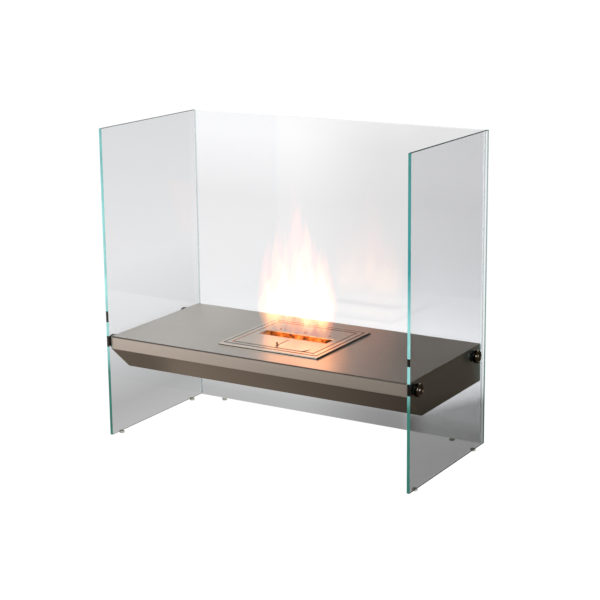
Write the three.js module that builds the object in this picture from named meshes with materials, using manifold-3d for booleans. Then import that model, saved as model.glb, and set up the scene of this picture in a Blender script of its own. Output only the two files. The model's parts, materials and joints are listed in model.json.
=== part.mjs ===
// A free-standing ethanol fireplace. Two side panes and a back pane of clear glass stand on small feet, and a
// folded steel tray hangs between the side panes on four bolts. A burner drops into the tray: its lid has a
// flame slot, which a sliding shutter closes.
// Millimetres, +Z up, front at -Y. The origin is on the floor, under the middle of the object.
import * as THREE from "three";
import { mergeVertices } from "three/addons/utils/BufferGeometryUtils.js";
import Module from "manifold-3d";

// Glass panes
const GLASS_WIDTH = 900; // over the outer faces of the side panes
const GLASS_DEPTH = 425;
const GLASS_HEIGHT = 825;
const GLASS_THICKNESS = 8;
const GLASS_ARRIS = 0.75; // the small chamfer ground along every edge
const BOND_WIDTH = 1; // clear adhesive between the back pane and each side pane

// Feet
const FOOT_HEIGHT = 6;
const FOOT_DIAMETER = 14;
const FOOT_EDGE = 1.5; // chamfer round the foot
const SIDE_FOOT_FRONT = 41.5; // from a side pane's front edge to the middle of its front foot
const SIDE_FOOT_REAR = 52.5; // from its rear edge to the middle of its rear foot
const BACK_FOOT_INSET = 89; // from the outer face of a side pane to the back pane's foot

// Tray
const TRAY_TOP_ABOVE_GLASS_FOOT = 272;
const TRAY_HEIGHT = 100;
const TRAY_SETBACK = 7; // behind the front edges of the glass
const TRAY_REAR_GAP = 1.5; // to the back pane
const TRAY_LIP = 34; // upright front face
const TRAY_SLOPE_RUN = 73.5; // how far back the sloping underside reaches
const TRAY_SHEET = 1.5;
const TRAY_END_SHEET = 3;
const TRAY_FOLD_RADIUS = 1; // inside each fold
const TRAY_LIP_TAB = 16; // of the underside, welded behind the lip
const TRAY_REAR_FLANGE = 20; // of the top, welded over the rear wall
const TRAY_SHEET_GAP = 0.25; // from the rear wall's top edge to the fold above it

// Bolts that hold the tray between the side panes
const BOLT_FRONT = 34.5; // from a side pane's front edge
const BOLT_REAR = 62.5; // from its rear edge
const BOLT_BELOW_TRAY_TOP = 20;
const BOLT_DIAMETER = 8;
const BOLT_HEAD_DIAMETER = 35;
const BOLT_HEAD_HEIGHT = 9.5;
const BOLT_HEAD_EDGE = 2; // radius round the head's face
const BOLT_HEAD_RECESS = 7; // diameter of the shallow socket in the face
const BOLT_HEAD_RECESS_DEPTH = 3;
const BOLT_END = 3; // that stands out of the nut
const BOLT_CLEARANCE = 0.3; // round the shank in every hole
const GLASS_HOLE_DIAMETER = 14;
const SLEEVE_CLEARANCE = 0.25; // round the sleeve in the glass
const WASHER_DIAMETER = 33;
const WASHER_THICKNESS = 1; // between the head and the glass
const SPACER_DIAMETER = 30;
const SPACER_THICKNESS = 1.5; // between the glass and the tray's end
const NUT_ACROSS_FLATS = 13;
const NUT_HEIGHT = 8;

// Burner: the flame slot sets the lid, the lid sets the tank, and the tank sets the frame round it
const BURNER_BEHIND_MIDDLE = 7;
const SEAT_GAP = 0.25; // under what lifts out
const SLOT_WIDTH = 206;
const SLOT_DEPTH = 44;
const SLOT_CORNER = 1.5;
const LID_SIDE_BAND = 17.5; // of the lid, beside the flame slot
const LID_FRONT_BAND = 93; // in front of the slot, over the open shutter
const LID_REAR_BAND = 83; // behind the slot, over the baffle
const LID_THICKNESS = 2;
const LID_GAP = 2; // all round the lid
const BURNER_CORNER = 3; // radius at the lid's corners
const TANK_WALL = 1.5;
const TANK_DEPTH = 85; // from the rim's top to the underside
const RIM_WIDTH = 14;
const RIM_THICKNESS = 2;
const RIM_GAP = 2; // between the tank's rim and the frame round it
const FRAME_FACE = 10; // width of the frame's visible face
const FRAME_SHEET = 2;
const FRAME_SKIRT = 8; // below the tray's top sheet
const FRAME_TANK_GAP = 1.5;
const CUTOUT_CLEARANCE = 0.5; // between the frame's skirt and the tray's cut-out
const GASKET_THICKNESS = 1;
const GASKET_INSET = 1; // behind the frame's outer edge
const GASKET_MARGIN = 1.5; // from the tray's cut-out to the gasket

// Lid openings
const SLIT_WIDTH = 3.75;
const SLIT_FRONT = 20; // from the lid's front edge to the middle of the keyhole
const SLIT_LENGTH = 61; // from there to the far end
const KEYHOLE_DIAMETER = 10;
const NOTCH_INSET = 27.5; // from the lid's right edge to the lifting notch in its front edge
const NOTCH_MOUTH = 10;
const NOTCH_LENGTH = 26;
const NOTCH_LEAN = 9; // how far the notch leans to the right over its length
const NOTCH_TIP = 3.5;

// Shutter under the lid
const SHUTTER_THICKNESS = 1.5;
const SHUTTER_OVERLAP = 2; // past the slot on the left, on the right and in front
const SHUTTER_SIDE_GAP = 1;
const SHUTTER_BELOW_LID = 1.5;
const SHUTTER_FRONT_MARGIN = 12; // of the plate in front of its pin
const RAIL_SHEET = 1.5;
const RAIL_FOOT = 5.5; // width of the foot that the shutter slides on
const RAIL_FLANGE = 11; // width of the flange under the lid
const RAIL_CLEARANCE = 0.25; // under the shutter
const RAIL_FRONT_GAP = 8; // from the lid's front edge
const RAIL_REAR_MARGIN = 7; // past the slot
const PIN_DIAMETER = 3;
const PIN_HEAD_DIAMETER = 7;
const PIN_HEAD_HEIGHT = 2.5;
const PIN_HEAD_ABOVE_LID = 5;
const PIN_COLLAR = 1.25; // thickness of the collars that grip the shutter
const PIN_COLLAR_DIAMETER = 7;
const PIN_CLEARANCE = 0.3; // round the pin in the shutter

// Baffle behind the flame slot
const BAFFLE_INSET = 8; // short of the slot at each end
const BAFFLE_DROP = 25;
const BAFFLE_FLANGE = 32;
const BAFFLE_SHEET = 1.5;
const BAFFLE_BEHIND_SLOT = 0.5;
const BAFFLE_RIB_OFFSET = -16; // middle of the rib, from the middle of the baffle
const BAFFLE_RIB_WIDTH = 6;
const BAFFLE_RIB_PROUD = 2;
const RIVET_DIAMETER = 4;
const RIVET_HEAD_DIAMETER = 6.5;
const RIVET_HEAD_HEIGHT = 1.25;
const RIVET_CLEARANCE = 0.15;
const RIVET_SPACING = 75;
const RIVET_BEHIND_SLOT = 23;
const RIVETS = 3;

// Inside the tank
const REST_WIDTH = 14; // brackets that carry the lid
const REST_REACH = 7;
const REST_DROP = 12;
const REST_SPACING = 120;
const REST_SHEET = 1.5;
const FIBRE_GAP = 1.5; // between the fibre block and the tank's walls
const FIBRE_HEIGHT = 54;
const TROUGH_DEPTH = 36; // in the fibre block, under the flame slot
const TROUGH_MARGIN = 3; // in front of the slot and behind it

const ROUND = 24; // facets round a bolt or a foot
const SMALL_ROUND = 16; // facets round a rivet or a hole in sheet
const FOLD_STEPS = 4;

const BURNER_METAL = { color: 0xb4b0aa, roughness: 0.32, metalness: 1 };
const MATERIALS = {
  glass: { color: 0xdcebe8, roughness: 0.02, metalness: 0, transparent: true, opacity: 0.25 },
  bond: { color: 0xe6f0ee, roughness: 0.1, metalness: 0, transparent: true, opacity: 0.5 },
  foot: { color: 0xd2d6d5, roughness: 0.35, metalness: 0, transparent: true, opacity: 0.7 },
  steel: { color: 0xa7a49f, roughness: 0.34, metalness: 1 },
  burner: BURNER_METAL,
  lid: { ...BURNER_METAL, color: 0xc8c1b6 },
  bolt: { color: 0x4a433d, roughness: 0.12, metalness: 1 },
  nut: { color: 0x8c8a86, roughness: 0.4, metalness: 1 },
  washer: { color: 0x161616, roughness: 0.7, metalness: 0 },
  gasket: { color: 0x1c1a19, roughness: 0.9, metalness: 0 },
  baffle: { color: 0x6b4a33, roughness: 0.5, metalness: 1 },
  fibre: { color: 0xd8d2c4, roughness: 1, metalness: 0 },
};

const wasm = await Module();
wasm.setup();

// ---- Shapes and solids ----

const point = (x, y) => new THREE.Vector2(x, y);

function arc(centre, radius, from, to, steps) {
  return Array.from({ length: steps + 1 }, (_, i) => {
    const angle = from + ((to - from) * i) / steps;
    return point(centre.x + radius * Math.cos(angle), centre.y + radius * Math.sin(angle));
  });
}

function circle(radius, centre = point(0, 0), steps = ROUND) {
  return arc(centre, radius, 0, 2 * Math.PI, steps).slice(0, -1);
}

function rectangle(width, depth, centre = point(0, 0)) {
  return [
    point(centre.x - width / 2, centre.y - depth / 2),
    point(centre.x + width / 2, centre.y - depth / 2),
    point(centre.x + width / 2, centre.y + depth / 2),
    point(centre.x - width / 2, centre.y + depth / 2),
  ];
}

function roundedRectangle(width, depth, radius, centre = point(0, 0)) {
  return rectangle(width - 2 * radius, depth - 2 * radius, centre).flatMap((corner, i) =>
    arc(corner, radius, Math.PI + (i * Math.PI) / 2, Math.PI * 1.5 + (i * Math.PI) / 2, FOLD_STEPS),
  );
}

function shapeOf(outline, holes = []) {
  const shape = new THREE.Shape(outline);
  shape.holes = holes.map((hole) => new THREE.Path(hole));
  return shape;
}

// A flat shape given thickness from one height to another.
function plate(shape, low, high) {
  const depth = high - low;
  return new THREE.ExtrudeGeometry(shape, { depth, bevelEnabled: false }).translate(0, 0, low);
}

// A section drawn in (Y, Z) and drawn out along X from left to right.
function beam(section, left, right) {
  const turn = new THREE.Matrix4().makeBasis(
    new THREE.Vector3(0, 1, 0),
    new THREE.Vector3(0, 0, 1),
    new THREE.Vector3(1, 0, 0),
  );
  const depth = right - left;
  const geometry = new THREE.ExtrudeGeometry(section, { depth, bevelEnabled: false });
  return geometry.applyMatrix4(turn).translate(left, 0, 0);
}

function block(low, high) {
  const size = high.clone().sub(low);
  const middle = low.clone().add(high).multiplyScalar(0.5);
  return new THREE.BoxGeometry(size.x, size.y, size.z).translate(middle.x, middle.y, middle.z);
}

function solidOf(geometry) {
  const bare = geometry.clone();
  bare.deleteAttribute("normal");
  bare.deleteAttribute("uv");
  const merged = mergeVertices(bare, 1e-4);
  return new wasm.Manifold(
    new wasm.Mesh({
      numProp: 3,
      vertProperties: merged.attributes.position.array,
      triVerts: new Uint32Array(merged.index.array),
    }),
  );
}

function geometryOf(solid) {
  const mesh = solid.getMesh();
  const geometry = new THREE.BufferGeometry();
  geometry.setAttribute("position", new THREE.BufferAttribute(mesh.vertProperties, 3));
  geometry.setIndex(new THREE.BufferAttribute(mesh.triVerts, 1));
  geometry.computeVertexNormals();
  return geometry;
}

function joined(first, ...others) {
  return geometryOf(others.reduce((solid, other) => solid.add(solidOf(other)), solidOf(first)));
}

function cut(body, ...tools) {
  return geometryOf(tools.reduce((solid, tool) => solid.subtract(solidOf(tool)), solidOf(body)));
}

// The section of one sheet folded along a path. The corners lie on its outer face, and every fold turns left.
function foldedSection(corners, thickness, insideRadius) {
  const steps = corners.slice(1).map((corner, i) => corner.clone().sub(corners[i]).normalize());
  const inward = (step) => point(-step.y, step.x);
  const folds = steps.slice(1).map((next, i) => {
    const from = Math.atan2(-inward(steps[i]).y, -inward(steps[i]).x);
    const turn = Math.acos(THREE.MathUtils.clamp(steps[i].dot(next), -1, 1));
    const bisector = inward(steps[i]).add(inward(next)).normalize();
    const reach = (insideRadius + thickness) / Math.cos(turn / 2);
    const centre = corners[i + 1].clone().add(bisector.multiplyScalar(reach));
    return { centre, from, to: from + turn };
  });
  const last = corners.length - 1;
  const outer = folds.flatMap(({ centre, from, to }) =>
    arc(centre, insideRadius + thickness, from, to, FOLD_STEPS),
  );
  const inner = folds.flatMap(({ centre, from, to }) => arc(centre, insideRadius, from, to, FOLD_STEPS));
  const innerStart = corners[0].clone().add(inward(steps[0]).multiplyScalar(thickness));
  const innerEnd = corners[last].clone().add(inward(steps[last - 1]).multiplyScalar(thickness));
  return [corners[0], ...outer, corners[last], innerEnd, ...inner.reverse(), innerStart];
}

// A closed outline with its corners, given anticlockwise, rounded.
function roundedOutline(corners, radius) {
  return corners.flatMap((corner, i) => {
    const before = corners.at(i - 1);
    const after = corners[(i + 1) % corners.length];
    const into = corner.clone().sub(before).normalize();
    const out = after.clone().sub(corner).normalize();
    const turn = Math.acos(THREE.MathUtils.clamp(into.dot(out), -1, 1));
    const bisector = point(-into.y - out.y, into.x + out.x).normalize();
    const centre = corner.clone().add(bisector.multiplyScalar(radius / Math.cos(turn / 2)));
    const from = Math.atan2(-into.x, into.y);
    return arc(centre, radius, from, from + turn, FOLD_STEPS);
  });
}

function piece(name, geometry, material, parent) {
  const mesh = new THREE.Mesh(geometry, new THREE.MeshStandardMaterial(MATERIALS[material]));
  mesh.name = name;
  parent.add(mesh);
  return mesh;
}

const SIDES = [
  ["left", -1],
  ["right", 1],
];

// ---- Glass ----

const glassOuter = GLASS_WIDTH / 2;
const glassInner = glassOuter - GLASS_THICKNESS;
const glassFront = -GLASS_DEPTH / 2;
const glassRear = GLASS_DEPTH / 2;
const trayTop = FOOT_HEIGHT + TRAY_TOP_ABOVE_GLASS_FOOT;
const boltHeight = trayTop - BOLT_BELOW_TRAY_TOP;
const boltPlaces = [
  ["front", glassFront + BOLT_FRONT],
  ["rear", glassRear - BOLT_REAR],
];

// A pane drawn flat, with an arris ground along every edge, whose faces lie at 0 and at the glass's thickness.
function pane(width, height, holes = []) {
  const outline = rectangle(width - 2 * GLASS_ARRIS, height - 2 * GLASS_ARRIS);
  return new THREE.ExtrudeGeometry(shapeOf(outline, holes), {
    depth: GLASS_THICKNESS - 2 * GLASS_ARRIS,
    bevelThickness: GLASS_ARRIS,
    bevelSize: GLASS_ARRIS,
    bevelSegments: 1,
  }).translate(0, 0, GLASS_ARRIS);
}

function sidePane(name, side, parent) {
  const middle = GLASS_HEIGHT / 2;
  const radius = GLASS_HOLE_DIAMETER / 2 + GLASS_ARRIS;
  const holes = boltPlaces.map(([, y]) => circle(radius, point(y, boltHeight - FOOT_HEIGHT - middle)));
  const turn = new THREE.Matrix4().makeBasis(
    new THREE.Vector3(0, 1, 0),
    new THREE.Vector3(0, 0, 1),
    new THREE.Vector3(1, 0, 0),
  );
  const geometry = pane(GLASS_DEPTH, GLASS_HEIGHT, holes).applyMatrix4(turn);
  const mesh = piece(name, geometry, "glass", parent);
  mesh.position.set(side > 0 ? glassInner : -glassOuter, 0, FOOT_HEIGHT + middle);
}

function backPane(parent) {
  const width = 2 * (glassInner - BOND_WIDTH);
  const turn = new THREE.Matrix4().makeBasis(
    new THREE.Vector3(1, 0, 0),
    new THREE.Vector3(0, 0, 1),
    new THREE.Vector3(0, -1, 0),
  );
  const mesh = piece("glass_back", pane(width, GLASS_HEIGHT).applyMatrix4(turn), "glass", parent);
  mesh.position.set(0, glassRear, FOOT_HEIGHT + GLASS_HEIGHT / 2);
}

// The adhesive stops short of the arrises at the top, at the bottom and along the corner.
function bond(name, side, parent) {
  const depth = GLASS_THICKNESS - 2 * GLASS_ARRIS;
  const height = GLASS_HEIGHT - 2 * GLASS_ARRIS;
  const mesh = piece(name, new THREE.BoxGeometry(BOND_WIDTH, depth, height), "bond", parent);
  const x = side * (glassInner - BOND_WIDTH / 2);
  mesh.position.set(x, glassRear - GLASS_THICKNESS / 2, FOOT_HEIGHT + GLASS_HEIGHT / 2);
}

function foot(name, x, y, parent) {
  const radius = FOOT_DIAMETER / 2;
  const profile = [
    point(0, 0),
    point(radius - FOOT_EDGE, 0),
    point(radius, FOOT_EDGE),
    point(radius, FOOT_HEIGHT),
    point(0, FOOT_HEIGHT),
  ];
  const geometry = new THREE.LatheGeometry(profile, ROUND).rotateX(Math.PI / 2);
  piece(name, geometry, "foot", parent).position.set(x, y, 0);
}

function glassAndFeet() {
  const group = new THREE.Group();
  const radius = FOOT_DIAMETER / 2;
  backPane(group);
  for (const [word, side] of SIDES) {
    sidePane("glass_" + word, side, group);
    bond("corner_bond_" + word, side, group);
    const x = side * (glassOuter - radius);
    foot("foot_" + word + "_front", x, glassFront + SIDE_FOOT_FRONT, group);
    foot("foot_" + word + "_rear", x, glassRear - SIDE_FOOT_REAR, group);
    foot("foot_back_" + word, side * (glassOuter - BACK_FOOT_INSET), glassRear - radius, group);
  }
  return group;
}

// ---- Tray ----

const trayOuter = glassInner - SPACER_THICKNESS;
const trayInner = trayOuter - TRAY_END_SHEET;
const trayFront = glassFront + TRAY_SETBACK;
const trayRear = glassRear - GLASS_THICKNESS - TRAY_REAR_GAP;
const slopeFoot = trayFront + TRAY_SLOPE_RUN;
const foldOutside = TRAY_FOLD_RADIUS + TRAY_SHEET;

// Sizes of the burner's nested parts, each from the one inside it. The cut corners of flat faces are sharper
// than the folded corners of walls.
const grow = ({ width, depth, corner }, by, newCorner = corner + by) => ({
  width: width + 2 * by,
  depth: depth + 2 * by,
  corner: newCorner,
});
const lidSize = {
  width: SLOT_WIDTH + 2 * LID_SIDE_BAND,
  depth: LID_FRONT_BAND + SLOT_DEPTH + LID_REAR_BAND,
  corner: BURNER_CORNER,
};
const tankInside = grow(lidSize, LID_GAP);
const tankOutside = grow(tankInside, TANK_WALL);
const rimSize = grow(tankInside, RIM_WIDTH, BURNER_CORNER);
const frameOpening = grow(rimSize, RIM_GAP);
const frameSize = grow(frameOpening, FRAME_FACE, BURNER_CORNER);
const skirtInside = grow(tankOutside, FRAME_TANK_GAP);
const skirtOutside = grow(skirtInside, FRAME_SHEET);
const cutout = grow(skirtOutside, CUTOUT_CLEARANCE);
const outlineOf = ({ width, depth, corner }) => roundedRectangle(width, depth, corner);
const ring = (outside, inside) => shapeOf(outlineOf(outside), [outlineOf(inside)]);

// Heights are measured down from the tray's top face in this part.
function trayTopSheet(parent) {
  const section = foldedSection(
    [
      point(trayRear, -TRAY_REAR_FLANGE),
      point(trayRear, 0),
      point(trayFront, 0),
      point(trayFront, -TRAY_LIP),
    ],
    TRAY_SHEET,
    TRAY_FOLD_RADIUS,
  );
  const hole = plate(shapeOf(outlineOf(cutout)), -2 * TRAY_SHEET, TRAY_SHEET);
  hole.translate(0, BURNER_BEHIND_MIDDLE, 0);
  piece("tray_top", cut(beam(shapeOf(section), -trayInner, trayInner), hole), "steel", parent);
}

function trayUnderside(parent) {
  const front = trayFront + TRAY_SHEET;
  const rear = trayRear - TRAY_SHEET;
  const section = foldedSection(
    [
      point(front, TRAY_LIP_TAB - TRAY_LIP),
      point(front, -TRAY_LIP),
      point(slopeFoot, -TRAY_HEIGHT),
      point(rear, -TRAY_HEIGHT),
      point(rear, -foldOutside - TRAY_SHEET_GAP),
    ],
    TRAY_SHEET,
    TRAY_FOLD_RADIUS,
  );
  piece("tray_underside", beam(shapeOf(section), -trayInner, trayInner), "steel", parent);
}

function trayEnd(name, side, parent) {
  const outline = roundedOutline(
    [
      point(trayRear, -TRAY_HEIGHT),
      point(trayRear, 0),
      point(trayFront, 0),
      point(trayFront, -TRAY_LIP),
      point(slopeFoot, -TRAY_HEIGHT),
    ],
    foldOutside,
  );
  const radius = BOLT_DIAMETER / 2 + BOLT_CLEARANCE;
  const holes = boltPlaces.map(([, y]) => circle(radius, point(y, -BOLT_BELOW_TRAY_TOP), SMALL_ROUND));
  const left = side > 0 ? trayInner : -trayOuter;
  const geometry = beam(shapeOf(outline, holes), left, left + TRAY_END_SHEET);
  piece(name, geometry, "steel", parent);
}

function tray() {
  const group = new THREE.Group();
  group.position.z = trayTop;
  trayTopSheet(group);
  trayUnderside(group);
  SIDES.forEach(([word, side]) => trayEnd("tray_end_" + word, side, group));
  return group;
}

// ---- Bolts through the side panes ----

// A profile of radii against distances along the bolt's axis, which points outwards from the pane.
function turnedOutwards(profile, side, steps) {
  return new THREE.LatheGeometry(profile, steps).rotateZ((-side * Math.PI) / 2);
}

function washerShape(diameter, bore) {
  return shapeOf(circle(diameter / 2), [circle(bore / 2, point(0, 0), SMALL_ROUND)]);
}

// A flat washer or sleeve on the bolt's axis, between two distances from the pane's outer face.
function onAxis(shape, side, inner, outer) {
  return side > 0 ? beam(shape, inner, outer) : beam(shape, -outer, -inner);
}

function boltProfile(nutEnd) {
  const radius = BOLT_DIAMETER / 2;
  const headRadius = BOLT_HEAD_DIAMETER / 2;
  const seat = WASHER_THICKNESS;
  const face = seat + BOLT_HEAD_HEIGHT;
  const edgeCentre = point(headRadius - BOLT_HEAD_EDGE, face - BOLT_HEAD_EDGE);
  return [
    point(0, nutEnd - BOLT_END),
    point(radius * 0.8, nutEnd - BOLT_END),
    point(radius, nutEnd - BOLT_END + radius * 0.2),
    point(radius, seat),
    point(headRadius, seat),
    ...arc(edgeCentre, BOLT_HEAD_EDGE, 0, Math.PI / 2, FOLD_STEPS),
    point(BOLT_HEAD_RECESS / 2, face),
    point(BOLT_HEAD_RECESS / 2, face - BOLT_HEAD_RECESS_DEPTH),
    point(0, face - BOLT_HEAD_RECESS_DEPTH),
  ];
}

function hexagon(acrossFlats) {
  return circle(acrossFlats / Math.sqrt(3), point(0, 0), 6);
}

// One bolt with all that it clamps. Distances run outwards from the outer face of the side pane.
function fixing(word, side, y, parent) {
  const group = new THREE.Group();
  group.position.set(side * glassOuter, y, boltHeight);
  const spacerFace = -GLASS_THICKNESS;
  const endFace = spacerFace - SPACER_THICKNESS;
  const nutFace = endFace - TRAY_END_SHEET;
  const nutEnd = nutFace - NUT_HEIGHT;
  const bore = BOLT_DIAMETER + 2 * BOLT_CLEARANCE;
  const sleeve = washerShape(GLASS_HOLE_DIAMETER - 2 * SLEEVE_CLEARANCE, bore);
  const nutShape = shapeOf(hexagon(NUT_ACROSS_FLATS), [circle(bore / 2, point(0, 0), SMALL_ROUND)]);
  const bolt = turnedOutwards(boltProfile(nutEnd), side, ROUND);
  piece("bolt_" + word, bolt, "bolt", group);
  const washer = onAxis(washerShape(WASHER_DIAMETER, bore), side, 0, WASHER_THICKNESS);
  piece("bolt_washer_" + word, washer, "washer", group);
  piece("bolt_sleeve_" + word, onAxis(sleeve, side, spacerFace, 0), "washer", group);
  const spacer = onAxis(washerShape(SPACER_DIAMETER, bore), side, endFace, spacerFace);
  piece("tray_spacer_" + word, spacer, "washer", group);
  piece("tray_nut_" + word, onAxis(nutShape, side, nutEnd, nutFace), "nut", group);
  parent.add(group);
}

function fixings() {
  const group = new THREE.Group();
  for (const [word, side] of SIDES)
    for (const [where, y] of boltPlaces) fixing(word + "_" + where, side, y, group);
  return group;
}

// ---- Burner. Heights are measured from the tray's top face, and places from the burner's middle. ----

const ledgeTop = GASKET_THICKNESS + FRAME_SHEET;
const rimUnder = ledgeTop + SEAT_GAP;
const rimTop = rimUnder + RIM_THICKNESS;
const lidTop = rimTop;
const lidUnder = lidTop - LID_THICKNESS;
const tankUnder = rimTop - TANK_DEPTH;
const lidFront = -lidSize.depth / 2;
const slotFront = lidFront + LID_FRONT_BAND;
const slotRear = slotFront + SLOT_DEPTH;
const baffleFace = slotRear + BAFFLE_BEHIND_SLOT;
const pinPlace = lidFront + SLIT_FRONT;

function burnerGasket(parent) {
  const outside = grow(frameSize, -GASKET_INSET);
  const shape = ring(outside, grow(cutout, GASKET_MARGIN, BURNER_CORNER));
  piece("burner_gasket", plate(shape, 0, GASKET_THICKNESS), "gasket", parent);
}

function burnerFrame(parent) {
  const ledge = plate(ring(frameSize, skirtInside), GASKET_THICKNESS, ledgeTop);
  const face = plate(ring(frameSize, frameOpening), GASKET_THICKNESS, ledgeTop + FRAME_SHEET);
  const skirt = plate(ring(skirtOutside, skirtInside), -FRAME_SKIRT, ledgeTop);
  piece("burner_frame", joined(ledge, face, skirt), "burner", parent);
}

function burnerTank(parent) {
  const rim = plate(ring(rimSize, tankInside), rimUnder, rimTop);
  const walls = plate(ring(tankOutside, tankInside), tankUnder, rimTop);
  const floor = plate(shapeOf(outlineOf(tankOutside)), tankUnder, tankUnder + TANK_WALL);
  piece("burner_tank", joined(walls, rim, floor), "burner", parent);
}

// A folded bracket welded to the tank's front or rear wall, under the lid.
function lidRest(name, x, side, parent) {
  const wall = tankInside.depth / 2;
  const top = lidUnder - SEAT_GAP;
  const section = foldedSection(
    [point(-wall, top - REST_DROP), point(-wall, top), point(REST_REACH - wall, top)].reverse(),
    REST_SHEET,
    TRAY_FOLD_RADIUS,
  );
  const geometry = beam(shapeOf(section), -REST_WIDTH / 2, REST_WIDTH / 2);
  const mesh = piece(name, geometry, "burner", parent);
  mesh.position.x = x;
  mesh.rotation.z = side > 0 ? Math.PI : 0;
}

function lidRests(parent) {
  for (const [word, side] of SIDES) {
    lidRest("lid_rest_front_" + word, (side * REST_SPACING) / 2, -1, parent);
    lidRest("lid_rest_rear_" + word, (side * REST_SPACING) / 2, 1, parent);
  }
}

function fibreBlock(parent) {
  const inside = grow(tankInside, -FIBRE_GAP);
  const bottom = tankUnder + TANK_WALL;
  const top = bottom + FIBRE_HEIGHT;
  const body = plate(shapeOf(outlineOf(inside)), bottom, top);
  const trough = block(
    new THREE.Vector3(-SLOT_WIDTH / 2, slotFront - TROUGH_MARGIN, top - TROUGH_DEPTH),
    new THREE.Vector3(SLOT_WIDTH / 2, slotRear + TROUGH_MARGIN, top + TROUGH_DEPTH),
  );
  piece("fibre_block", cut(body, trough), "fibre", parent);
}

// A slit with a round keyhole at its front end.
function keyholeSlit() {
  const half = SLIT_WIDTH / 2;
  const radius = KEYHOLE_DIAMETER / 2;
  const meet = Math.asin(half / radius);
  const round = arc(point(0, pinPlace), radius, Math.PI / 2 + meet, Math.PI * 2.5 - meet, SMALL_ROUND);
  const end = arc(point(0, pinPlace + SLIT_LENGTH - half), half, 0, Math.PI, FOLD_STEPS);
  return [...round, ...end];
}

// The lid's outline, with the leaning notch in its front edge that a hook lifts it by.
function lidOutline() {
  const right = lidSize.width / 2 - NOTCH_INSET;
  const left = right - NOTCH_MOUTH;
  const tip = (left + right) / 2 + NOTCH_LEAN;
  const notch = [
    point(left, lidFront),
    point(tip - NOTCH_TIP / 2, lidFront + NOTCH_LENGTH),
    point(tip + NOTCH_TIP / 2, lidFront + NOTCH_LENGTH),
    point(right, lidFront),
  ];
  const outline = outlineOf(lidSize);
  const firstCorner = FOLD_STEPS + 1;
  return [...outline.slice(0, firstCorner), ...notch, ...outline.slice(firstCorner)];
}

const rivetPlaces = Array.from({ length: RIVETS }, (_, i) =>
  point((i - (RIVETS - 1) / 2) * RIVET_SPACING, slotRear + RIVET_BEHIND_SLOT),
);
const rivetHoles = () =>
  rivetPlaces.map((place) => circle(RIVET_DIAMETER / 2 + RIVET_CLEARANCE, place, SMALL_ROUND));

function lid(parent) {
  const slotMiddle = point(0, (slotFront + slotRear) / 2);
  const slot = roundedRectangle(SLOT_WIDTH, SLOT_DEPTH, SLOT_CORNER, slotMiddle);
  const shape = shapeOf(lidOutline(), [slot, keyholeSlit(), ...rivetHoles()]);
  piece("burner_lid", plate(shape, lidUnder, lidTop), "lid", parent);
}

function baffle(parent) {
  const section = [
    point(baffleFace, lidUnder - BAFFLE_DROP),
    point(baffleFace + BAFFLE_SHEET, lidUnder - BAFFLE_DROP),
    point(baffleFace + BAFFLE_SHEET, lidUnder - BAFFLE_SHEET),
    point(baffleFace + BAFFLE_FLANGE, lidUnder - BAFFLE_SHEET),
    point(baffleFace + BAFFLE_FLANGE, lidUnder),
    point(baffleFace, lidUnder),
  ];
  const half = SLOT_WIDTH / 2 - BAFFLE_INSET;
  const angle = beam(shapeOf(section), -half, half);
  const holes = rivetHoles().map((hole) => plate(shapeOf(hole), lidUnder - 2 * BAFFLE_SHEET, lidTop));
  piece("flame_baffle", cut(angle, ...holes), "baffle", parent);
  const rib = block(
    new THREE.Vector3(-BAFFLE_RIB_WIDTH / 2, baffleFace - BAFFLE_RIB_PROUD, lidUnder - BAFFLE_DROP),
    new THREE.Vector3(BAFFLE_RIB_WIDTH / 2, baffleFace, railFootTop),
  );
  piece("baffle_rib", rib, "baffle", parent).position.x = BAFFLE_RIB_OFFSET;
}

function rivets(parent) {
  const shank = RIVET_DIAMETER / 2;
  const head = RIVET_HEAD_DIAMETER / 2;
  const low = lidUnder - BAFFLE_SHEET;
  const profile = [
    point(0, low - RIVET_HEAD_HEIGHT),
    point(head * 0.85, low - RIVET_HEAD_HEIGHT),
    point(head * 0.85, low),
    point(shank, low),
    point(shank, lidTop),
    point(head, lidTop),
    point(head * 0.8, lidTop + RIVET_HEAD_HEIGHT * 0.65),
    point(0, lidTop + RIVET_HEAD_HEIGHT),
  ];
  rivetPlaces.forEach((place, i) => {
    const geometry = new THREE.LatheGeometry(profile, SMALL_ROUND).rotateX(Math.PI / 2);
    piece("baffle_rivet_" + (i + 1), geometry, "burner", parent).position.set(place.x, place.y, 0);
  });
}

const shutterTop = lidUnder - SHUTTER_BELOW_LID;
const shutterUnder = shutterTop - SHUTTER_THICKNESS;
const railFootTop = shutterUnder - RAIL_CLEARANCE;
const shutterSide = SLOT_WIDTH / 2 + SHUTTER_OVERLAP;
const shutterRear = slotFront - SHUTTER_OVERLAP;
const shutterFront = pinPlace - SHUTTER_FRONT_MARGIN;
const pinHoleRadius = PIN_DIAMETER / 2 + PIN_CLEARANCE;

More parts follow.
